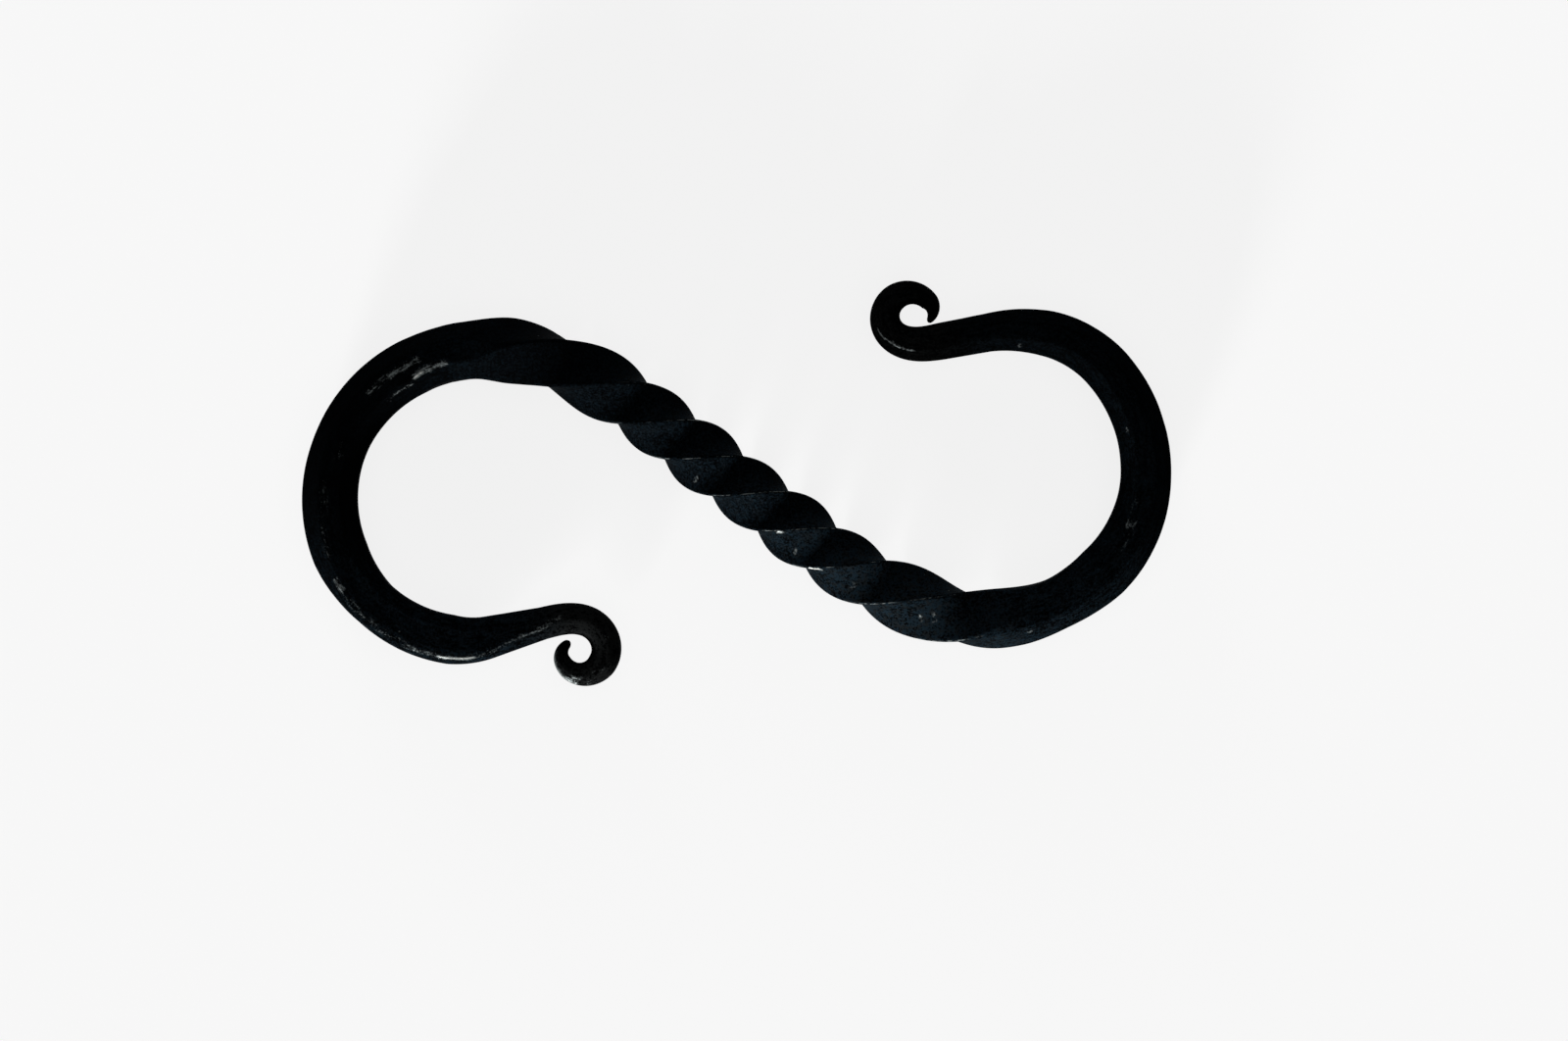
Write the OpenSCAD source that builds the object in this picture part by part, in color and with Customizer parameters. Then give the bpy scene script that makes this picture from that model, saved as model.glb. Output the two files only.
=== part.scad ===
// Hand forged S hook: one length of square bar, twisted two full turns in the middle, then
// drawn down to an octagonal taper at each end and bent to an open hook with a scrolled tip.
// It lies flat: X runs from the left hook to the right one, Z is up, and the origin is under
// the middle of its outline. In each pair of values the left hook comes first, then the right.

/* [Bar] */
// Side of the square bar
bar_side = 8; // [6:0.5:12]
// Radius left on the bar's corners
corner_radius = 0.6; // [0.3:0.1:1.2]
// How far the bar is out of square: one diagonal is longer by this many percent
out_of_square = 4; // [0:0.5:8]

/* [Twist] */
// Slope of the straight shank, in degrees below the X axis
shank_slope = 37.5; // [20:0.5:60]
// Length of bar that takes one quarter turn where the twist is tightest
quarter_turn_length = 9.3; // [7:0.1:14]
// Degrees turned between the middle of the shank and each hook; 45 more than full quarters
// brings a corner of the bar to the top of the hook
twist_turn = [315, 405]; // [225:90:495]
// Evenly twisted length on each side of the middle, past which the twist dies away
even_twist = [9, 13]; // [4:1:20]
// Distance from the middle at which the square starts to be forged to an octagon
square_until = [39, 43]; // [25:1:50]
// Length of bar over which the square is forged to the octagon
forging_length = [9, 18]; // [6:1:25]

/* [Bend radii] */
// Straight length on each side of the middle of the shank
straight_half = [16.5, 18.5]; // [10:0.5:30]
// Radius of the slow bend that leads out of the shank
lead_radius = [55.5, 68]; // [35:0.5:90]
// Radius of the crown, the first full bend of the hook
crown_radius = [27, 26]; // [20:0.5:34]
// Radius of the shoulder, the bend after the crown
shoulder_radius = [23.5, 27]; // [18:0.5:34]
// Radius of the back, the far side of the hook, where a rail or a load bears
back_radius = [23, 22]; // [18:0.5:30]
// Radius of the heel, the bend after the back
heel_radius = [22, 24.5]; // [17:0.5:30]
// Radius of the belly, the side that runs back to the mouth
belly_radius = [22.5, 18]; // [15:0.5:28]
// Radius of the lip, the last of the hook before the mouth
lip_radius = [15, 24]; // [12:0.5:30]

/* [Bend angles] */
// Degrees turned by the lead out of the shank
lead_turn = [19, 17]; // [10:1:25]
// Degrees turned by the crown
crown_turn = [47, 45]; // [35:1:52]
// Degrees turned by the shoulder
shoulder_turn = [37, 19]; // [15:1:42]
// Degrees turned by the back
back_turn = [47, 44]; // [38:1:52]
// Degrees turned by the heel
heel_turn = [25, 43]; // [20:1:48]
// Degrees turned by the belly
belly_turn = [34, 38]; // [30:1:43]
// Degrees turned by the lip
lip_turn = [23, 22]; // [16:1:28]

/* [Neck and scroll] */
// Straight length between the lip and the neck
throat_length = [9, 7.5]; // [5:0.5:14]
// Degrees turned by the neck, along which the bar eases from straight into the scroll
neck_turn = [42, 68]; // [30:1:90]
// Radius at which the scroll starts
scroll_start_radius = [5.2, 3.8]; // [3.6:0.1:6.5]
// Radius at which the scroll ends
scroll_end_radius = [3.2, 4.1]; // [3:0.1:5]
// Degrees turned by the scroll
scroll_turn = [224, 175]; // [160:1:240]
// Radius of the small curl at the very tip
tip_radius = [2.2, 2.2]; // [1.6:0.1:3]
// Degrees turned by the small curl at the very tip
tip_turn = [89, 89]; // [50:1:90]
// Least gap between the tip and the neck; the scroll opens out if it would be less
tip_gap = [0.5, 0.1]; // [0.1:0.1:1]

/* [Thickness of the taper] */
// Thickness at the end of the crown, and all through the forging from square to octagon
crown_thickness = [9.1, 8.1]; // [7:0.1:11]
// Thickness at the end of the shoulder
shoulder_thickness = [8.7, 9]; // [7:0.1:11]
// Thickness at the end of the back
back_thickness = [8.9, 8]; // [7:0.1:11]
// Thickness at the end of the heel
heel_thickness = [7.7, 7.8]; // [6:0.1:10]
// Thickness at the end of the belly
belly_thickness = [7.9, 7.3]; // [6:0.1:10]
// Thickness at the end of the lip
lip_thickness = [6.8, 6.1]; // [5:0.1:8]
// Thickness where the neck begins
neck_thickness = [5.2, 5.9]; // [4:0.1:7]
// Thickness where the scroll begins
scroll_thickness = [5, 5]; // [3.5:0.1:5.5]
// Thickness half way round the scroll
mid_scroll_thickness = [4.7, 4.3]; // [3:0.1:5.2]
// Thickness at the end of the scroll
scroll_end_thickness = [2.7, 3]; // [1.5:0.1:3.6]
// Thickness of the blunt tip
tip_thickness = [1.2, 0.8]; // [0.7:0.1:1.6]

/* [Hidden] */

LEFT = 0;
RIGHT = 1;
DEGREES = 180 / PI;
forged_black = [0.07, 0.075, 0.085];

// Spacing of the sections along the bar: closest where it twists or bends most
twist_step = 0.75;
fade_step = 1.1;
bend_step = 2;
throat_step = 3;
neck_step = 0.8;
scroll_step = 0.55;
nose_steps = 4;
// Degrees from the throat at which the scroll runs square away from the neck
away_turn = 105;
// Share of the tip's half thickness over which its end is rounded; the rest is left blunt
nose_share = 0.97;

// ---- The bar's route: runs of [length, curvature at start, curvature at end, step] ----
// Curvature is positive while the hook bends round its load and negative in the scroll.

function arc_length(radius, turn) = radius * turn / DEGREES;

function bend(radius, turn, step) = [arc_length(radius, turn), 1 / radius, 1 / radius, step];

// Length in which the curvature goes evenly from a to b over a given turn
function easing_length(a, b, turn) = 2 * turn / DEGREES / (a + b);

function nose_length(i) = nose_share * tip_thickness[i] / 2;

function tip_length(i) = arc_length(tip_radius[i], tip_turn[i]);

// The scroll is parted where it runs square away from the neck, by a straight stretch that is
// nought unless the tip would come too near the neck
function runs(i, stretch) =
    let (start = 1 / scroll_start_radius[i],
        end = 1 / scroll_end_radius[i],
        tip = 1 / tip_radius[i],
        scroll = easing_length(start, end, scroll_turn[i]),
        turn = away_turn - neck_turn[i],
        away = sqrt(start * start + 2 * (end - start) / scroll * turn / DEGREES),
        first = easing_length(start, away, turn))
    [
        [straight_half[i], 0, 0, twist_step],
        bend(lead_radius[i], lead_turn[i], fade_step),
        bend(crown_radius[i], crown_turn[i], fade_step),
        bend(shoulder_radius[i], shoulder_turn[i], bend_step),
        bend(back_radius[i], back_turn[i], bend_step),
        bend(heel_radius[i], heel_turn[i], bend_step),
        bend(belly_radius[i], belly_turn[i], bend_step),
        bend(lip_radius[i], lip_turn[i], bend_step),
        [throat_length[i], 0, 0, throat_step],
        [easing_length(0, start, neck_turn[i]), 0, -start, neck_step],
        [first, -start, -away, scroll_step],
        [stretch, 0, 0, scroll_step],
        [scroll - first, -away, -end, scroll_step],
        [tip_length(i) - nose_length(i), -tip, -tip, scroll_step],
        [nose_length(i), -tip, -tip, nose_length(i) / nose_steps],
    ];

// Places along the bar where the size changes, by the number of the run that ends there
CROWN = 2;
SHOULDER = 3;
BACK = 4;
HEEL = 5;
BELLY = 6;
LIP = 7;
THROAT = 8;
NECK = 9;
STRETCH = 11;
SCROLL = 12;
TIP = 13;
NOSE = 14;

// Distance from the middle of the shank to the end of each run
function run_ends(i, stretch) = [for (k = 0, r = runs(i, stretch), s = r[0][0];
    k < len(r);
    k = k + 1, s = k < len(r) ? s + r[k][0] : s) s];

// The runs cut into short steps of [length, degrees turned]
function steps(i, stretch) = [for (r = runs(i, stretch))
    let (n = ceil(r[0] / r[3] - 0.001), ds = r[0] / n)
    for (j = [0:1:n - 1]) [ds, DEGREES * ds * (r[1] + (r[2] - r[1]) * (j + 0.5) / n)]];

// Walks the steps outwards from the middle: [distance, x, y, heading] at every section
function walk(i, stretch) = [for (j = 0, s = 0, x = 0, y = 0, d = steps(i, stretch),
    h = i == LEFT ? 180 - shank_slope : -shank_slope;
    j <= len(d);
    x = j < len(d) ? x + d[j][0] * cos(h + d[j][1] / 2) : x,
    y = j < len(d) ? y + d[j][0] * sin(h + d[j][1] / 2) : y,
    s = j < len(d) ? s + d[j][0] : s,
    h = j < len(d) ? h + d[j][1] : h,
    j = j + 1) [s, x, y, h]];

// ---- What changes along the bar ----

function clamp01(v) = max(0, min(1, v));

function ease(v) = let (u = clamp01(v)) u * u * (3 - 2 * u);

// Degrees of twist at distance s: an even rate, then a rate that eases away to nothing
turn_rate = 90 / quarter_turn_length;
function fade_length(i) = 2 * (twist_turn[i] / turn_rate - even_twist[i]);
function twist(i, s) =
    let (f = fade_length(i), u = clamp01((s - even_twist[i]) / f))
    turn_rate * (min(s, even_twist[i]) + f * (u - pow(u, 3) + pow(u, 4) / 2));

// Share of the way from the square to the octagon
function octagon_share(i, s) = ease((s - square_until[i]) / forging_length[i]);

// Thickness of the octagon, straight between the places where it is given
function thickness(i, s, ends) =
    lookup(s, [
        [ends[CROWN], crown_thickness[i]],
        [ends[SHOULDER], shoulder_thickness[i]],
        [ends[BACK], back_thickness[i]],
        [ends[HEEL], heel_thickness[i]],
        [ends[BELLY], belly_thickness[i]],
        [ends[LIP], lip_thickness[i]],
        [ends[THROAT], neck_thickness[i]],
        [ends[NECK], scroll_thickness[i]],
        [(ends[NECK] + ends[SCROLL] + ends[STRETCH] - ends[STRETCH - 1]) / 2,
            mid_scroll_thickness[i]],
        [ends[SCROLL], scroll_end_thickness[i]],
        [ends[NOSE], tip_thickness[i]],
    ]) * nose(i, s - ends[TIP]);

// The end of the bar is rounded over like a ball of the tip's thickness
function nose(i, past) = past <= 0 ? 1 : sqrt(1 - pow(past / (tip_thickness[i] / 2), 2));

// Gap between the neck and the part of the curl that has turned back to face it, for a given
// straight stretch in the scroll; an octagon turned off its flats reaches further sideways
function neck_gap(i, stretch) =
    let (ends = run_ends(i, stretch),
        reach = cos(22.5 - twist_turn[i] % 45) / cos(22.5) / 2,
        loop = [for (w = walk(i, stretch)) if (w[0] > ends[LIP])
            [w[1], w[2], reach * thickness(i, w[0], ends), w[3]]])
    min([for (a = loop, b = loop) if (a[3] - b[3] > 150)
        norm([a[0] - b[0], a[1] - b[1]]) - a[2] - b[2]]);

// The shortest stretch that leaves the gap asked for
function stretch_for_gap(i, tried = 0) =
    let (missing = tip_gap[i] - neck_gap(i, tried))
    missing <= 0 ? tried : stretch_for_gap(i, tried + max(missing, 0.05));

stretch = [stretch_for_gap(LEFT), stretch_for_gap(RIGHT)];
ends = [run_ends(LEFT, stretch[LEFT]), run_ends(RIGHT, stretch[RIGHT])];

// The twisted bar rests on its corners, which reach lower than the hook's flats would. So the
// hook sinks by the difference between the first forged section and the end of the shoulder,
// and the whole piece lies level on three places: shank, left hook and right hook.
corner_reach =
    ((bar_side / 2 - corner_radius) * sqrt(2) + corner_radius) * (1 + out_of_square / 200);
function flat_reach(i) = max(shoulder_thickness[i], back_thickness[i]) / 2;
function sunk(i, s) =
    (corner_reach - flat_reach(i))
        * ease((s - square_until[i]) / (ends[i][SHOULDER] - square_until[i]));

// ---- The bar's section ----

// One rounded corner of the square, as three points round its quarter circle
square_corner = [for (a = [0:45:90])
    (bar_side / 2 - corner_radius) * [1, 1] + corner_radius * [cos(a), sin(a)]];

// The same quarter of an octagon of thickness 2: two of its edges and the middle of the flat
// between them
octagon_corner = [[1, tan(22.5)], [sin(45), sin(45)], [tan(22.5), 1]];

function turned(p, a) = [p.x * cos(a) - p.y * sin(a), p.x * sin(a) + p.y * cos(a)];

// Pushes the section out along one diagonal and in along the other
function skewed(p, k) =
    let (along = (p.x + p.y) / 2, across = (p.x - p.y) / 2)
    [along * (1 - k) + across * (1 + k), along * (1 - k) - across * (1 + k)];

// A corner, then two points that divide the flat between it and the next corner in three
function quarter_outline(corner) =
    let (a = corner[2], b = turned(corner[0], 90))
    concat(corner, [(2 * a + b) / 3, (a + 2 * b) / 3]);

// Section at distance s: square, octagon or on its way from one to the other
function section(i, s) =
    let (m = octagon_share(i, s), half = thickness(i, s, ends[i]) / 2,
        corner = (1 - m) * square_corner + m * half * octagon_corner,
        skew = (1 - m) * out_of_square / 200)
    [for (a = [0:90:270], p = quarter_outline(corner)) skewed(turned(p, a), skew)];

// ---- The sections set along the route, from the left tip to the right tip ----

function ring(i, w) =
    let (s = w[0], side = i == LEFT ? -1 : 1,
        heading = w[3] + (i == LEFT ? 180 : 0),
        out = [-sin(heading), cos(heading)])
    [for (p = section(i, s))
        let (q = turned(p, -side * twist(i, s)))
        [w[1] + out.x * q.x, w[2] + out.y * q.x, q.y - sunk(i, s)]];

left_walk = walk(LEFT, stretch[LEFT]);
right_walk = walk(RIGHT, stretch[RIGHT]);
rings = concat(
    [for (j = [len(left_walk) - 1:-1:1]) ring(LEFT, left_walk[j])],
    [for (w = right_walk) ring(RIGHT, w)]);
around = len(rings[0]);

// The middle of the blunt face at each tip
function tip_middle(i, w) = [w[1], w[2], -sunk(i, w[0])];
points = concat(
    [for (r = rings, p = r) p],
    [tip_middle(LEFT, left_walk[len(left_walk) - 1]),
        tip_middle(RIGHT, right_walk[len(right_walk) - 1])]);
left_tip = len(points) - 2;
right_tip = len(points) - 1;

// The skin: two triangles between neighbouring points, and a fan of them over each tip
function next(k) = (k + 1) % around;
last = (len(rings) - 1) * around;
skin = concat(
    [for (k = [0:around - 1]) [left_tip, k, next(k)]],
    [for (j = [0:around:last - around], k = [0:around - 1], half = [0, 1])
        let (a = j + k, b = j + next(k))
        half == 0 ? [a, a + around, b] : [b, a + around, b + around]],
    [for (k = [0:around - 1]) [right_tip, last + next(k), last + k]]);

low = [min([for (p = points) p.x]), min([for (p = points) p.y]), min([for (p = points) p.z])];
high = [max([for (p = points) p.x]), max([for (p = points) p.y])];

// The whole hook, one forged piece
module s_hook() {
    color(forged_black)
        translate([-(low.x + high.x) / 2, -(low.y + high.y) / 2, -low.z])
            polyhedron(points = points, faces = skin, convexity = 6);
}

s_hook();
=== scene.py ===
import math

import bpy
import numpy as np
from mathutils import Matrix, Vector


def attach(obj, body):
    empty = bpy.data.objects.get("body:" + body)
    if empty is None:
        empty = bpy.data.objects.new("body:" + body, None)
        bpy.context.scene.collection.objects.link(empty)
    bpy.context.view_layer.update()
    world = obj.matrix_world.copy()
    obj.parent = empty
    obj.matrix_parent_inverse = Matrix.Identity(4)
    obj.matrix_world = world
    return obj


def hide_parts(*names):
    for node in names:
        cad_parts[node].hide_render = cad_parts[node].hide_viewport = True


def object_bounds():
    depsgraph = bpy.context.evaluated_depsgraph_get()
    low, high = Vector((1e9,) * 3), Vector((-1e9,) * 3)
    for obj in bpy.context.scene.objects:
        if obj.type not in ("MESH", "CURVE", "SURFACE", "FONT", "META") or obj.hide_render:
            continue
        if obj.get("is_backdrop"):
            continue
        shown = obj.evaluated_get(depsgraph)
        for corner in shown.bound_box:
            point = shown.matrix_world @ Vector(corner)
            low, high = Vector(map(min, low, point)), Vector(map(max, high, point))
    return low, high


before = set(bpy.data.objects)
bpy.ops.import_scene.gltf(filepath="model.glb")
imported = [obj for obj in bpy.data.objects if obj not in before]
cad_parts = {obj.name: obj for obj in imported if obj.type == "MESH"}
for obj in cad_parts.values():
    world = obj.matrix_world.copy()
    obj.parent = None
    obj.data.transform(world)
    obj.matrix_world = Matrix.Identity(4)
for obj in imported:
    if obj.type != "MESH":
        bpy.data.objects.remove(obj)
cad_low, cad_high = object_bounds()


# ==== The hook ====================================================================
# One length of 8 mm square mild steel bar, worked hot by hand: the middle is twisted two
# full turns, each end is drawn down to an octagonal taper, bent to an open hook round the
# anvil's horn and finished with a scrolled tip. It is one piece; nothing is fixed to it.

MM = 0.001
BAR_SIDE = 8 * MM
CORNER_RADIUS = 0.6 * MM
OUT_OF_SQUARE = 0.04           # how much longer one diagonal of the square is
SHANK_SLOPE = 37.5             # degrees down to the right
QUARTER_TURN = 9.3 * MM        # length of bar that the even twist turns by a quarter

# The two halves, from the middle of the shank outwards. Lengths, radii and thicknesses are in
# millimetres, turns in degrees. The bar is straight, then bends seven times, each given as its
# radius and the angle it turns: lead, crown, shoulder, back, heel, belly, lip. After a straight
# throat the neck curls the other way into the scroll (first radius, last radius, angle) and
# the tip (radius, angle). It stays square for a while, and is an octagon after the length of
# its forging. The thicknesses are at the ends of the last six bends, the throat and the neck,
# and at the middle of the scroll, its end and the tip.
LEFT = dict(
    side=-1, straight=16.5, square_until=39, forging=9, twist=315, even_twist=9,
    bends=((55.5, 19), (27, 47), (23.5, 37), (23, 47), (22, 25), (22.5, 34), (15, 23)),
    throat=9, neck_turn=42, scroll=(5.2, 3.2, 224), tip=(2.2, 89),
    thickness=(9.1, 8.7, 8.9, 7.7, 7.9, 6.8, 5.2, 5, 4.7, 2.7, 1.2),
)
RIGHT = dict(
    side=1, straight=18.5, square_until=43, forging=18, twist=405, even_twist=13,
    bends=((68, 17), (26, 45), (27, 19), (22, 44), (24.5, 43), (18, 38), (24, 22)),
    throat=7.5, neck_turn=68, scroll=(3.8, 4.1, 175), tip=(2.2, 89),
    thickness=(8.1, 9, 8, 7.8, 7.3, 6.1, 5.9, 5, 4.3, 3, 0.8),
)

RING_SPACING = 0.262 * MM      # distance between sections along the bar
CORNER_POINTS, FLAT_POINTS = 12, 8    # round a quarter of a section: its corner, then its flat
TIP_SECTIONS = 7               # sections that round off each tip
TIP_REACH = 0.96               # how far round its quarter circle the last of them comes
EDGE_ROUND = 0.8 * MM          # rounding hammered over the taper's eight edges,
EDGE_SHARE = 0.45              # and the most it may be as a share of the half thickness
SKIN_INSET = 0.015 * MM        # keeps the finished skin just inside the plain shape
THINNEST = 0.02 * MM           # half thickness that no section goes below
NEXT_TO_NOTHING = 1e-6         # keeps a division from going wrong at a length of nought

BLOWS = 120                    # hammer blows that show on each hook,
FORGED_FROM = 0.3              # from where it is this share of the way to an octagon
BLOW_DEPTH = 0.09 * MM         # of the deepest; the shallowest is SOFTEST of it
SOFTEST = 0.25
BLOW_LENGTH = (1.6, 3.6)       # along the bar, millimetres
BLOW_WIDTH = (0.22, 0.4)       # round the bar, radians
BLOW_AIM = 0.08                # how far a blow strays round the bar from its face, radians
FULL_DEPTH_AT = 4 * MM         # blows are shallower where the bar's half width is less
HAMMER_SEED = 11

# The left hook isn't true. Its twist runs a few degrees ahead before it dies away. Its flats
# are wider than an octagon's along the belly, by this share, and lean round the bar by these
# degrees, a little on the crown and more on the neck and scroll. Places are distances from the
# middle of the shank in millimetres.
TWISTED_ON_AT, TWISTED_ON = (34, 41, 45, 48), (0, 7, 6, 0)
WIDER_AT, WIDER = (92, 98, 119, 125), (0, 0.23, 0.23, 0)
LEANING_AT = (48, 51, 54, 57, 122, 128, 131, 140, 145, 150)
LEANING = (0, -8, -7, 0, 0, 5, 17, 30, 35, 45)
CRISPNESS = 24                 # higher for sharper edges between the flats


def ease(v):
    """Nought below 0, one above 1, and 3v^2 - 2v^3 between."""
    u = np.clip(v, 0, 1)
    return u * u * (3 - 2 * u)


def runs_of(hook):
    """The route as rows of length, curvature at its start and curvature at its end.

    A curvature is one over the radius, less than nought where the bar curls back. A run that
    turns by an angle t is 2t over the sum of its two curvatures long.
    """
    rows = [(hook["straight"] * MM, 0, 0)]
    for radius, turn in hook["bends"]:
        rows.append((radius * MM * math.radians(turn), 1 / (radius * MM), 1 / (radius * MM)))
    first, last = (1 / (r * MM) for r in hook["scroll"][:2])
    curl = 1 / (hook["tip"][0] * MM)
    rows.append((hook["throat"] * MM, 0, 0))
    rows.append((2 * math.radians(hook["neck_turn"]) / first, 0, -first))
    rows.append((2 * math.radians(hook["scroll"][2]) / (first + last), -first, -last))
    rows.append((math.radians(hook["tip"][1]) / curl, -curl, -curl))
    return np.array(rows)


def walk(hook):
    """Sections outwards from the middle of the shank: distance, place and heading.

    Heading is the sum over the runs of k0 u + (k1 - k0) u^2 / 2L, where u is how far along
    that run the section is; the place is the running sum of short steps along the heading.
    Sections are evenly spaced, and crowd together as a sine does where the tip rounds off.
    """
    runs = runs_of(hook)
    length, k0, k1 = runs.T
    ends = np.cumsum(length)
    blunt = hook["thickness"][-1] * MM / 2
    even = np.linspace(0, ends[-1] - blunt, round((ends[-1] - blunt) / RING_SPACING) + 1)
    quarter = np.linspace(0, TIP_REACH * math.pi / 2, TIP_SECTIONS + 1)[1:]
    round_off = ends[-1] - blunt * (1 - np.sin(quarter))
    s = np.concatenate([even, round_off])

    def heading(at):
        u = np.clip(at[:, None] - (ends - length), 0, length)
        return (k0 * u + (k1 - k0) * u * u / (2 * length)).sum(1)

    start = math.radians(-SHANK_SLOPE if hook["side"] > 0 else 180 - SHANK_SLOPE)
    middle = start + heading((s[1:] + s[:-1]) / 2)
    step = np.diff(s)
    x = np.concatenate([[0], np.cumsum(step * np.cos(middle))])
    y = np.concatenate([[0], np.cumsum(step * np.sin(middle))])
    return s, x, y, start + heading(s), ends, length


def twist_of(hook, s):
    """Angle twisted by distance s: an even rate, then one that eases away to nothing.

    Over the fade the angle grows by its length times u - u^3 + u^4 / 2, times the even rate,
    where u is the share of the fade that is past.
    """
    rate = math.pi / 2 / QUARTER_TURN
    even = hook["even_twist"] * MM
    fade = 2 * (math.radians(hook["twist"]) / rate - even)
    u = np.clip((s - even) / fade, 0, 1)
    return rate * (np.minimum(s, even) + fade * (u - u**3 + u**4 / 2))


def thickness_of(hook, s, ends, length):
    """Straight lines between the thicknesses given, and rounded off like a ball at the tip.

    Over the last half thickness b it is t sqrt(1 - (p / b)^2), where p is how much is past.
    """
    at = list(ends[2:10]) + [ends[9] + length[10] / 2, ends[10], ends[11]]
    t = np.interp(s, at, np.array(hook["thickness"]) * MM)
    blunt = t[-1] / 2
    past = np.clip(s - (ends[-1] - blunt), 0, blunt)
    return t * np.sqrt(1 - (past / blunt) ** 2)


def quarter_outline(m, half):
    """One quarter of the section: its corner, and the flat after it.

    m is the share of the way from the square's rounded corner to the octagon's two edges,
    each rounded too, and half is the octagon's half thickness. Both are one value a section.
    """
    sweep = np.radians(np.linspace(0, 90, CORNER_POINTS))
    centre = BAR_SIDE / 2 - CORNER_RADIUS
    square = centre + CORNER_RADIUS * np.stack([np.cos(sweep), np.sin(sweep)], 1)

    r = np.minimum(EDGE_ROUND, EDGE_SHARE * half)[:, None]
    reach = (half[:, None] - r) / math.cos(math.radians(22.5))
    arcs = []
    for first in (0, 45):
        e = math.radians(first + 22.5)
        t = np.radians(np.linspace(first, first + 45, CORNER_POINTS // 2 - 1))
        arcs.append(np.stack([reach * math.cos(e) + r * np.cos(t),
                              reach * math.sin(e) + r * np.sin(t)], 2))
    a_end, b_start = arcs[0][:, -1:], arcs[1][:, :1]
    face = [a_end + (b_start - a_end) * share for share in (1 / 3, 2 / 3)]
    octagon = np.concatenate([arcs[0], *face, arcs[1]], 1)

    m = m[:, None, None]
    corner = (1 - m) * square + m * octagon
    start, stop = corner[:, -1:], corner[:, :1, ::-1] * [-1, 1]
    share = (np.arange(1, FLAT_POINTS + 1) / (FLAT_POINTS + 1))[None, :, None]
    return np.concatenate([corner, start + (stop - start) * share], 1)


def uneven(s, out, up):
    """The left hook's sections with wider and leaning flats, as broad and as thick as before.

    In any direction the reach of a shape with four pairs of flats is one over the
    CRISPNESS-norm of the cosines from that direction to the flats, each over how far out its
    flat is; the sloping flats are moved out to make the level and upright ones wider. Each
    point moves in or out by the ratio of that reach as it is here to that of a true octagon.
    """
    angle = np.arctan2(up, out)[..., None]
    faces = np.radians([0, 45, 90, 135])
    wider = np.interp(s / MM, WIDER_AT, WIDER)[:, None, None] * np.array([0, 1, 0, 1])
    lean = np.radians(np.interp(s / MM, LEANING_AT, LEANING))[:, None, None]
    before = np.linalg.norm(np.cos(angle - faces), CRISPNESS, axis=2)
    after = np.linalg.norm(np.cos(angle - lean - faces) / (1 + wider), CRISPNESS, axis=2)
    moved = out * before / after, up * before / after
    return [
        new * (np.abs(old).max(1) / np.abs(new).max(1))[:, None]
        for old, new in zip((out, up), moved)
    ]


def sections(hook):
    """Every section of one half of the bar: its points outwards and up from the route, its
    place and heading, and how far it is sunk.

    The outline is repeated round the four quarters, made longer along one diagonal and
    shorter along the other by half of OUT_OF_SQUARE each, and turned by the twist's angle.
    The taper is sunk by the twisted bar's half diagonal less its own half thickness, eased
    in over the first bends, so that the hook lies level.
    """
    s, x, y, h, ends, length = walk(hook)
    m = ease((s / MM - hook["square_until"]) / hook["forging"])
    half = thickness_of(hook, s, ends, length) / 2 - SKIN_INSET
    half = np.maximum(half, THINNEST)
    q = quarter_outline(m, half)
    ring = np.concatenate([q, q[..., ::-1] * [-1, 1], -q, q[..., ::-1] * [1, -1]], 1)
    k = (1 - m)[:, None] * OUT_OF_SQUARE / 2
    along = (ring[..., 0] + ring[..., 1]) / 2 * (1 - k)
    across = (ring[..., 0] - ring[..., 1]) / 2 * (1 + k)
    ring = np.stack([along + across, along - across], 2)

    left = hook["side"] < 0
    a = -hook["side"] * twist_of(hook, s)[:, None]
    if left:
        a = a + np.radians(np.interp(s / MM, TWISTED_ON_AT, TWISTED_ON))[:, None]
    out = ring[..., 0] * np.cos(a) - ring[..., 1] * np.sin(a)
    up = ring[..., 0] * np.sin(a) + ring[..., 1] * np.cos(a)

    corner = (BAR_SIDE / 2 - CORNER_RADIUS) * math.sqrt(2) + CORNER_RADIUS
    flat = max(hook["thickness"][1:3]) * MM / 2
    start = hook["square_until"] * MM
    sunk = (corner * (1 + OUT_OF_SQUARE / 2) - flat) * ease((s - start) / (ends[3] - start))
    if left:
        h = h + math.pi
        out, up = uneven(s, out, up)
    return dict(s=s, x=x, y=y, h=h, m=m, out=out, up=up, sunk=sunk, side=hook["side"])


def hammered(part, rng):
    """Depth of the hammer's marks at every point.

    Each blow is a shallow bell-shaped hollow, set at a distance along the bar and on one of
    the eight faces; where blows overlap the deeper one counts.
    """
    s, angle = part["s"][:, None], np.arctan2(part["up"], part["out"])
    first = s[part["m"] > FORGED_FROM].min()
    depth = np.zeros_like(part["out"])
    for _ in range(BLOWS):
        at = rng.uniform(first, s[-1, 0])
        face = rng.integers(8) * math.pi / 4 + rng.normal(0, BLOW_AIM)
        long, wide = rng.uniform(*BLOW_LENGTH) * MM, rng.uniform(*BLOW_WIDTH)
        deep = BLOW_DEPTH * rng.uniform(SOFTEST, 1)
        off = np.angle(np.exp(1j * (angle - face)))
        depth = np.maximum(depth, deep * np.exp(-((s - at) / long) ** 2 - (off / wide) ** 2))
    size = np.hypot(part["out"], part["up"])
    return depth * np.clip(size / FULL_DEPTH_AT, 0, 1)


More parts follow.
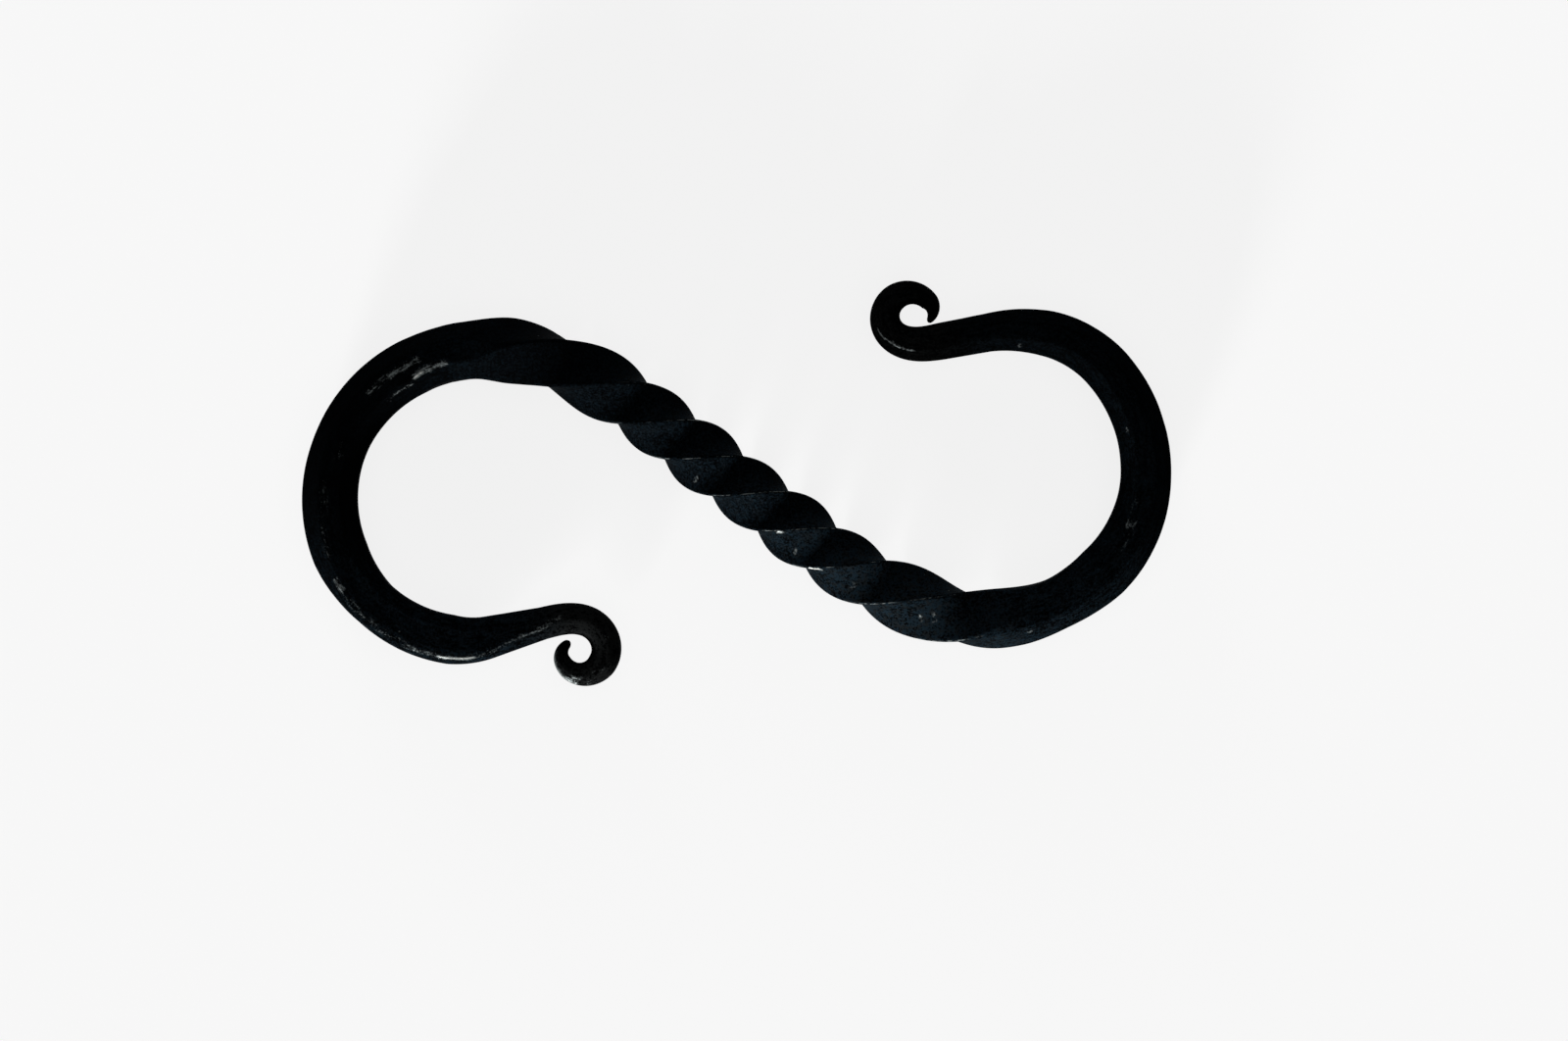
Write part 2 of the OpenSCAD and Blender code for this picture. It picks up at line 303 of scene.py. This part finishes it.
# Places rubbed or knocked bright, each a stroke from one place to another. They lie along the
# bar's highlights, mostly on the sides that face the low key light: partly real rubs and knocks,
# partly painted highlights, sheen and glints. Which hook, then distance from the middle of the
# shank (mm) and angle round the bar (degrees; nought points outwards along the bend's radius,
# 90 up) at each end, half width (mm) and strength, which is 0.3 for a faint trace and 1 or more
# for a hard rub.
RUBS_AND_HIGHLIGHTS = (
    # the crown of the left hook, where it has hung on something, and its painted highlights
    ("left", 56.5, 112, 54.7, 107, 0.27, 1.50),
    ("left", 55.0, 108, 53.6, 108, 0.44, 1.05),
    ("left", 54.2, 108, 50.8, 106, 0.38, 1.15),
    ("left", 63.9, 84, 59.5, 82, 0.24, 0.54),
    ("left", 60.0, 83, 54.6, 85, 0.22, 0.82),
    ("left", 62.5, 119, 57.4, 122, 0.30, 0.50),
    ("left", 72.5, 96, 75.5, 98, 0.50, 0.30),
    ("left", 79.0, 76, 84.5, 78, 0.50, 0.36),
    ("left", 86.0, 74, 91.0, 67, 0.50, 0.30),
    # the ridge round its heel and belly, and on along the neck
    ("left", 94.4, 60, 95.9, 58, 0.40, 0.90),
    ("left", 97.0, 57, 109.0, 53, 0.50, 0.39),
    ("left", 109.0, 53, 112.6, 53, 0.38, 0.58),
    ("left", 112.8, 51, 117.6, 51, 0.25, 1.38),
    ("left", 117.6, 53, 121.0, 56, 0.45, 0.42),
    ("left", 121.0, 58, 126.0, 66, 0.38, 0.45),
    ("left", 127.0, 71, 128.6, 74, 0.34, 0.80),
    ("left", 129.0, 76, 131.8, 88, 0.36, 0.58),
    # its scroll, ragged marks and painted highlights along the outside of the last bend
    ("left", 139.6, 97, 140.2, 99, 0.36, 0.50),
    ("left", 146.0, 97, 144.4, 105, 0.36, 0.48),
    ("left", 149.2, 117, 148.4, 115, 0.36, 0.80),
    ("left", 146.8, 134, 148.4, 146, 0.40, 0.52),
    ("left", 148.6, 147, 152.0, 152, 0.40, 1.15),
    ("left", 152.0, 152, 156.0, 160, 0.45, 1.00),
    # the twist: one knocked corner, painted as a white glint, and specks
    ("right", 19.3, 133, 20.6, 120, 0.26, 2.0),
    ("left", 3.6, 144, 3.4, 147, 0.30, 0.80),
    ("right", 11.8, 115, 12.7, 107, 0.22, 1.40),
    ("right", 15.5, 133, 16.0, 135, 0.28, 0.85),
    ("right", 26.1, 124, 26.3, 120, 0.28, 1.05),
    ("right", 37.6, 119, 37.8, 119, 0.28, 1.30),
    ("right", 39.3, 97, 39.8, 111, 0.28, 0.75),
    ("right", 53.9, 133, 54.2, 132, 0.30, 0.80),
    ("right", 76.6, 73, 77.6, 79, 0.40, 0.85),
    ("right", 72.0, 88, 82.0, 74, 0.60, 0.26),
    # the lower ridge of the right scroll, and two specks on the way to it
    ("right", 119.5, 42, 119.2, 43, 0.30, 0.70),
    ("right", 93.3, 58, 93.0, 58, 0.30, 0.60),
    ("right", 141.8, 50, 139.2, 62, 0.24, 0.95),
    ("right", 139.2, 62, 136.4, 66, 0.24, 0.85),
)
TAPER_REACH = 4.2 * MM         # half width that turns a stroke's degrees into a distance

# How grey the scale is painted along the bar, nought where it is black, by distance from the
# middle of the shank in millimetres, counted below nought on the left: greyest on the left
# scroll and where the twist runs out on the right, nearly black on the two bowls. It is partly
# the scale's own tone, where it is thinner, and partly painted light: each stretch is set as
# bright as it looks under the low lamp, and lifted where the lamp reaches it less, as on the
# far bend of the left scroll.
TONE_AND_LIGHT_AT = (-155, -146, -140, -132, -125, -110, -95, -80, -65, -57, -48, -35, -20, 0, 10, 25, 35,
           45, 55, 65, 80, 95, 125, 140, 155)
TONE_AND_LIGHT = (0.3, 1.2, 1.3, 0.9, 0.55, 0.40, 0.20, 0.05, 0.06, 0.10, 0.22, 0.13, 0.31, 0.42, 0.50,
           1.1, 1.25, 0.85, 0.56, 0.38, 0.27, 0.14, 0.18, 0.36, 0.14)


def rubbed_and_highlit(part, name):
    """How hard each point is rubbed, or lit up as a painted highlight.

    Each stroke gives its strength on its own line, falling evenly to nothing at twice its half
    width over the unrolled skin, and where strokes overlap the hardest counts.
    """
    angle = np.arctan2(part["up"], part["out"])
    size = np.hypot(part["out"], part["up"])
    bright = np.zeros_like(angle)
    # each stroke is partly wear and partly a painted highlight or sheen, set on the sides that
    # face the lamp
    for hook, s0, a0, s1, a1, width, strength in RUBS_AND_HIGHLIGHTS:
        if hook != name:
            continue
        far = np.array([(s1 - s0) * MM, math.radians(a1 - a0) * TAPER_REACH])
        off = np.angle(np.exp(1j * (angle - math.radians(a0)))) * size
        p = np.stack([np.broadcast_to(part["s"][:, None] - s0 * MM, off.shape), off], 2)
        t = np.clip((p @ far) / (far @ far + NEXT_TO_NOTHING**2), 0, 1)
        d = np.linalg.norm(p - t[..., None] * far, axis=2)
        bright = np.maximum(bright, strength * np.clip(1 - d / (2 * width * MM), 0, 1))
    return bright


def laid_out(part, dents):
    """Points in space: the route's place, plus the section's outward part square to the
    heading and its upward part along Z, each drawn in by the depth of the dents."""
    shrink = 1 - dents / np.maximum(np.hypot(part["out"], part["up"]), NEXT_TO_NOTHING)
    out, up = part["out"] * shrink, part["up"] * shrink
    x = part["x"][:, None] - np.sin(part["h"])[:, None] * out
    y = part["y"][:, None] + np.cos(part["h"])[:, None] * out
    return np.stack([x, y, up - part["sunk"][:, None]], 2)


def bar_mesh():
    """The two halves joined at the middle of the shank, a skin of quads between neighbouring
    sections, and a pole of triangles at each tip; with what each point knows for the finish."""
    rng = np.random.default_rng(HAMMER_SEED)
    grids, tips = [], []
    for name, hook in (("left", LEFT), ("right", RIGHT)):
        part = sections(hook)
        place = laid_out(part, hammered(part, rng))
        corner = np.zeros(CORNER_POINTS + FLAT_POINTS)
        corner[:CORNER_POINTS] = np.sin(np.linspace(0, math.pi, CORNER_POINTS)) ** 2
        ridge = (1 - part["m"][:, None]) * np.tile(corner, 4)
        far = np.broadcast_to(part["s"][:, None] * part["side"], ridge.shape)
        # painted light: the scale's tone along the bar, set partly by how the lamp falls on each
        # stretch
        tone_and_light = np.interp(far / MM, TONE_AND_LIGHT_AT, TONE_AND_LIGHT)
        grid = np.dstack([place, ridge, rubbed_and_highlit(part, name), tone_and_light, far, part["out"], part["up"]])
        grids.append(grid)
        tips.append(grid[-1].mean(0))
    left, right = grids
    whole = np.concatenate([left[:0:-1], right])
    rings, around = whole.shape[:2]
    data = np.concatenate([whole.reshape(-1, 9), tips])

    j, k = np.meshgrid(np.arange(rings - 1) * around, np.arange(around), indexing="ij")
    n = (k + 1) % around
    quads = np.stack([j + k, j + n, j + around + n, j + around + k], 2).reshape(-1, 4)
    k = np.arange(around)
    n = (k + 1) % around
    last = (rings - 1) * around
    left_pole = np.stack([np.full(around, len(data) - 2), n, k], 1)
    right_pole = np.stack([np.full(around, len(data) - 1), last + k, last + n], 1)
    return data, quads.tolist() + left_pole.tolist() + right_pole.tolist()


points, faces = bar_mesh()
low, high = points[:, :3].min(0), points[:, :3].max(0)
cad = np.array([cad_low, cad_high])
points[:, :3] += cad.mean(0) - (low + high) / 2

skin = bpy.data.meshes.new("forged_s_hook")
skin.from_pydata(points[:, :3].tolist(), [], faces)
for column, name in ((3, "ridge"), (4, "rubbed_and_highlit"), (5, "tone_and_light"), (6, "along")):
    skin.attributes.new(name, "FLOAT", "POINT").data.foreach_set("value", points[:, column])
straightened = skin.attributes.new("straightened", "FLOAT_VECTOR", "POINT")
straightened.data.foreach_set("vector", points[:, 6:9].ravel())
skin.shade_smooth()
hook = bpy.data.objects.new("forged_s_hook", skin)
bpy.context.scene.collection.objects.link(hook)


# The finish: black forge scale, oiled, fine grained and a little patchy, blue-grey along the
# stretches that catch the lamp (partly thinner scale, partly painted light) and browner at the
# tips; edges and knocks rubbed through to dark steel, with painted highlights and near-white
# painted glints laid as rubs on the sides that face the lamp.

class Shade:
    """An output socket of a material. Arithmetic on it adds Math nodes."""

    def __init__(self, tree, socket=None):
        self.tree, self.socket = tree, socket

    def node(self, kind, settings=None, inputs=None, output=0):
        """Adds a node: its settings first, then its sockets' values or links."""
        made = self.tree.nodes.new(kind)
        for name, value in (settings or {}).items():
            setattr(made, name, value)
        for name, value in (inputs or {}).items():
            if isinstance(value, Shade):
                self.tree.links.new(value.socket, made.inputs[name])
            else:
                made.inputs[name].default_value = value
        return Shade(self.tree, made.outputs[output]) if made.outputs else None

    def math(self, operation, a, b=0.0, clamp=False):
        settings = dict(operation=operation, use_clamp=clamp)
        return self.node("ShaderNodeMath", settings, {0: a, 1: b})

    def __add__(self, other):
        return self.math("ADD", self, other)

    def __sub__(self, other):
        return self.math("SUBTRACT", self, other)

    def __rsub__(self, other):
        return self.math("SUBTRACT", other, self)

    def __mul__(self, other):
        return self.math("MULTIPLY", self, other)

    __radd__, __rmul__ = __add__, __mul__

    def between(self, low, high):
        """Nought at low, one at high, eased and clamped between."""
        return self.node(
            "ShaderNodeMapRange", dict(interpolation_type="SMOOTHSTEP"),
            {"Value": self, "From Min": low, "From Max": high},
        )

    def blend(self, a, b):
        """Colour a where this is nought and b where it is one."""
        return self.node("ShaderNodeMix", dict(data_type="RGBA"), {0: self, 6: a, 7: b}, output=2)


def noise(start, place, size, detail, roughness=0.5):
    """Cloudy noise whose features are about this size, in metres."""
    return start.node(
        "ShaderNodeTexNoise", None,
        {"Vector": place, "Scale": 1 / size, "Detail": detail, "Roughness": roughness},
    )


def attribute(start, name, output="Fac"):
    """What each point of the mesh knows under this name."""
    return start.node("ShaderNodeAttribute", dict(attribute_name=name), output=output)


SCALE_BLACK = (0.0006, 0.0008, 0.0010, 1)     # unbroken forge scale
# the blue-grey is also the lit tone that the painted light along the bar goes towards
SCALE_GREY = (0.0110, 0.0210, 0.0300, 1)      # thinnest scale, blue-grey
SCALE_BROWN = (0.0150, 0.0140, 0.0120, 1)     # heat-browned scale at the tips
RUBBED_STEEL = (0.21, 0.235, 0.235, 1)
# near-white, brighter than steel is: the hardest strokes are painted glints
BARE_STEEL_AND_GLINT = (0.80, 0.80, 0.76, 1)

# How large the finish's features are, in metres.
PATCH, MOTTLE, GRAIN, PIT = 4 * MM, 0.7 * MM, 0.32 * MM, 1.2 * MM
BREAK = 0.6 * MM               # breaks in the rubbed strokes and edges
STREAK, STREAK_LENGTH = 0.42 * MM, 5    # lines drawn out along the tapers: width, times as long
HUE = 0.8 * MM                 # patches of brown in the blue-grey
FLECK_SPACING = 1.3 * MM

# Places along the bar, in metres from the middle of the shank, between which things change.
TO_TAPER = (0.044, 0.054)      # short breaks in the finish give way to drawn-out lines
TO_BROWN = (0.120, 0.134)
TO_WORN_EDGES = (-0.026, -0.008)    # the twist's edges are hardly worn at its left end

iron = bpy.data.materials.new("forged_iron_black")
iron.use_nodes = True
iron.node_tree.nodes.clear()
finish = Shade(iron.node_tree)
place = finish.node("ShaderNodeTexCoord", output="Object")
ridge, bright, along, tone_and_light = (
    attribute(finish, name) for name in ("ridge", "rubbed_and_highlit", "along", "tone_and_light")
)

patches = noise(finish, place, PATCH, detail=4, roughness=0.6)
mottle = noise(finish, place, MOTTLE, detail=3, roughness=0.7)
grain = noise(finish, place, GRAIN, detail=2, roughness=0.7)
pits = noise(finish, place, PIT, detail=4, roughness=0.65)
broken = noise(finish, place, BREAK, detail=2)
lengthwise = finish.node(
    "ShaderNodeVectorMath", dict(operation="MULTIPLY"),
    {0: attribute(finish, "straightened", "Vector"), 1: (1 / STREAK_LENGTH, 1, 1)},
)
drawn = noise(finish, lengthwise, STREAK, detail=4)
from_middle = finish.math("ABSOLUTE", along)
tapered = from_middle.between(*TO_TAPER)
breaks = broken + tapered * (drawn - broken)
fleck_distance, fleck_lot = (
    finish.node(
        "ShaderNodeTexVoronoi", None, {"Vector": place, "Scale": 1 / FLECK_SPACING}, output=output
    )
    for output in ("Distance", "Color")
)

# Rubbed through, and painted highlights: the twist's edges in broken stretches, the strokes, and
# a few stray flecks. A pair of values is where something begins and where it is full.
EDGE_TOP, EDGE_BREAKS, EDGE_PATCHES = (0.80, 1.0), (0.38, 0.55), (0.42, 0.54)
GRAIN_IN_STROKE, BREAKS_IN_STROKE = 1.6, 2.0
STROKE_SHOWS, STROKE_REACH = (0.30, 1.15), (0.02, 0.30)
FLECK_FADES, ONE_IN_TEN = (0.06, 0.16), (0.90, 0.93)
EDGE_WEAR, FLECK_WEAR = 0.8, 0.45

worn_edge = ridge.between(*EDGE_TOP) * broken.between(*EDGE_BREAKS)
worn_edge = worn_edge * patches.between(*EDGE_PATCHES) * along.between(*TO_WORN_EDGES)
# the strokes: rubs and painted highlights
ragged = bright + GRAIN_IN_STROKE * (grain - 0.5) + BREAKS_IN_STROKE * (breaks - 0.5)
rub_and_highlight_spot = ragged.between(*STROKE_SHOWS) * bright.between(*STROKE_REACH)
flecks = (1 - fleck_distance.between(*FLECK_FADES)) * fleck_lot.between(*ONE_IN_TEN)
wear_and_highlight = finish.math("MAXIMUM", EDGE_WEAR * worn_edge, rub_and_highlight_spot)
wear_and_highlight = finish.math("MAXIMUM", wear_and_highlight, flecks * FLECK_WEAR)

# The scale: its tone along the bar, partly painted light, made cloudy, mottled, grainy and
# streaked.
CLOUD_LEAST, CLOUD, CLOUD_EDGES = 0.45, 0.6, (0.3, 0.7)
MOTTLED, GRAINY, STREAKED = 3.2, 6.5, 4
HUE_EDGES, HUE_LEAST, HUE_WITH_TONE_AND_LIGHT = (0.42, 0.62), 0.2, 0.3
BROWNED = 0.8
GRAIN_IN_STEEL, BARE_FROM = 0.8, (1.0, 1.5)

cloudy = (
    CLOUD_LEAST + CLOUD * patches.between(*CLOUD_EDGES)
    + MOTTLED * (mottle - 0.5) + GRAINY * (grain - 0.5) + STREAKED * tapered * (drawn - 0.5)
)
# the tone along the bar carries painted light as well as the scale's own grey
tone = finish.math("MULTIPLY", tone_and_light, cloudy, clamp=True)
hue = noise(finish, place, HUE, detail=1).between(*HUE_EDGES) * (HUE_LEAST + HUE_WITH_TONE_AND_LIGHT * tone_and_light)
brown = BROWNED * from_middle.between(*TO_BROWN)
light = finish.math("MAXIMUM", brown, hue).blend(SCALE_GREY, SCALE_BROWN)
# painted glint: the hardest strokes turn near-white
bare_and_glint_share = (bright + GRAIN_IN_STEEL * (grain - 0.5)).between(*BARE_FROM)
colour = wear_and_highlight.blend(tone.blend(SCALE_BLACK, light), bare_and_glint_share.blend(RUBBED_STEEL, BARE_STEEL_AND_GLINT))

POLISHED = 0.9                 # how metallic a fully rubbed place is
MATT, PIT_MATT, RUB_GLOSS = 0.82, 0.14, 0.36    # roughness of scale, with pits, lost by rubs
SHEEN = 0.01                   # forge scale hardly mirrors anything
RELIEF, RELIEF_STRENGTH = 0.12 * MM, 0.7
PIT_RELIEF, MOTTLE_RELIEF = 0.6, 0.4

bumps = finish.node(
    "ShaderNodeBump", None,
    {
        "Strength": RELIEF_STRENGTH, "Distance": RELIEF,
        "Height": pits * PIT_RELIEF + mottle * MOTTLE_RELIEF,
    },
    output="Normal",
)
surface = finish.node(
    "ShaderNodeBsdfPrincipled", None,
    {
        "Base Color": colour,
        "Roughness": MATT + PIT_MATT * pits - RUB_GLOSS * wear_and_highlight,
        "Metallic": wear_and_highlight * POLISHED,
        "Specular IOR Level": SHEEN,
        "Normal": bumps,
    },
)
finish.node("ShaderNodeOutputMaterial", None, {"Surface": surface})
skin.materials.append(iron)

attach(hook, "root")
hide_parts("s_hook")


# ==== The table and the light =====================================================
# A plain pale sheet that the hook lies on, wide enough to fill every view; one soft light
# low on the near side and a little to the left, a weaker one low behind on the left, and a
# faint, broad one overhead. None of it is part of the object.

TABLE_HALF = 6.0
PALE = 0.93               # how bright the sheet and the far room look
SHEET = 0.45              # how much of the light on it the sheet gives back
DARK_ROOM = 0.02
HORIZON = (0.17, 0.22)    # how steeply up or down the far room stops looking bright
KEY = dict(height=5, side=21, softness=12, level=1.15)    # angles in degrees
FILL = dict(height=80, side=-30, softness=80, level=0.07)
BACK = dict(height=4, side=158, softness=25, level=0.22)


def seen_directly(shader):
    """One for the camera's rays and for those mirrored in or passing through something."""
    rays = [
        shader.node("ShaderNodeLightPath", output=name)
        for name in ("Is Camera Ray", "Is Glossy Ray", "Is Transmission Ray")
    ]
    return shader.math("ADD", rays[0] + rays[1], rays[2], clamp=True)


sheet = bpy.data.meshes.new("pale_table")
corners = ((-1, -1), (1, -1), (1, 1), (-1, 1))
sheet.from_pydata(
    [(x * TABLE_HALF, y * TABLE_HALF, cad_low[2]) for x, y in corners], [], [(0, 1, 2, 3)]
)
table = bpy.data.objects.new("pale_table", sheet)
bpy.context.scene.collection.objects.link(table)
pale = bpy.data.materials.new("pale_table")
pale.use_nodes = True
pale.node_tree.nodes.clear()
paper = Shade(pale.node_tree)
# the light that falls on the sheet, and the glow that makes up the rest of its brightness
falls = DARK_ROOM + sum(
    lit["level"] * math.sin(math.radians(lit["height"])) for lit in (KEY, FILL, BACK)
)
made_up = seen_directly(paper) * (PALE - SHEET * falls)
matt = paper.node("ShaderNodeBsdfDiffuse", None, {"Color": (SHEET, SHEET, SHEET, 1)})
glow = paper.node("ShaderNodeEmission", None, {"Strength": made_up})
both = paper.node("ShaderNodeAddShader", None, {0: matt, 1: glow})
paper.node("ShaderNodeOutputMaterial", None, {"Surface": both})
sheet.materials.append(pale)
table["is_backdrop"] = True

for name, lit in (("key_light", KEY), ("fill_light", FILL), ("back_light", BACK)):
    sun = bpy.data.lights.new(name, "SUN")
    sun.energy = lit["level"] * math.pi
    sun.angle = math.radians(lit["softness"])
    lamp = bpy.data.objects.new(name, sun)
    lamp.rotation_euler = [math.radians(90 - lit["height"]), 0, math.radians(-lit["side"])]
    bpy.context.scene.collection.objects.link(lamp)

room = bpy.data.worlds.new("room")
bpy.context.scene.world = room
room.use_nodes = True
room.node_tree.nodes.clear()
air = Shade(room.node_tree)
upward = air.node(
    "ShaderNodeSeparateXYZ", None,
    {"Vector": air.node("ShaderNodeTexCoord", output="Generated")}, output="Z",
)
horizon = 1 - air.math("ABSOLUTE", upward).between(*HORIZON)
strength = DARK_ROOM + (PALE - DARK_ROOM) * seen_directly(air) * horizon
sky = air.node("ShaderNodeBackground", None, {"Color": (1, 1, 1, 1), "Strength": strength})
air.node("ShaderNodeOutputWorld", None, {"Surface": sky})


# ==== The camera ==================================================================
# A long lens straight above the hook, which lies a little left of and above the middle of
# the view.

CAMERA_HEIGHT = 1.5
FIELD_WIDTH = 0.2485      # what the view takes in at the height of the bar's middle
BAR_MIDDLE = 5 * MM
VIEW_OFF = (7.5 * MM, -5.88 * MM)
SENSOR_WIDTH = 36         # millimetres, as the focal length is

lens = bpy.data.cameras.new("camera")
lens.sensor_width = SENSOR_WIDTH
lens.lens = SENSOR_WIDTH * (CAMERA_HEIGHT - BAR_MIDDLE) / FIELD_WIDTH
lens.dof.use_dof = False
camera = bpy.data.objects.new("camera", lens)
camera.location = (*VIEW_OFF, CAMERA_HEIGHT)
bpy.context.scene.collection.objects.link(camera)
bpy.context.scene.camera = camera
bpy.context.scene.view_settings.view_transform = "Standard"


bpy.context.view_layer.update()
low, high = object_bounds()
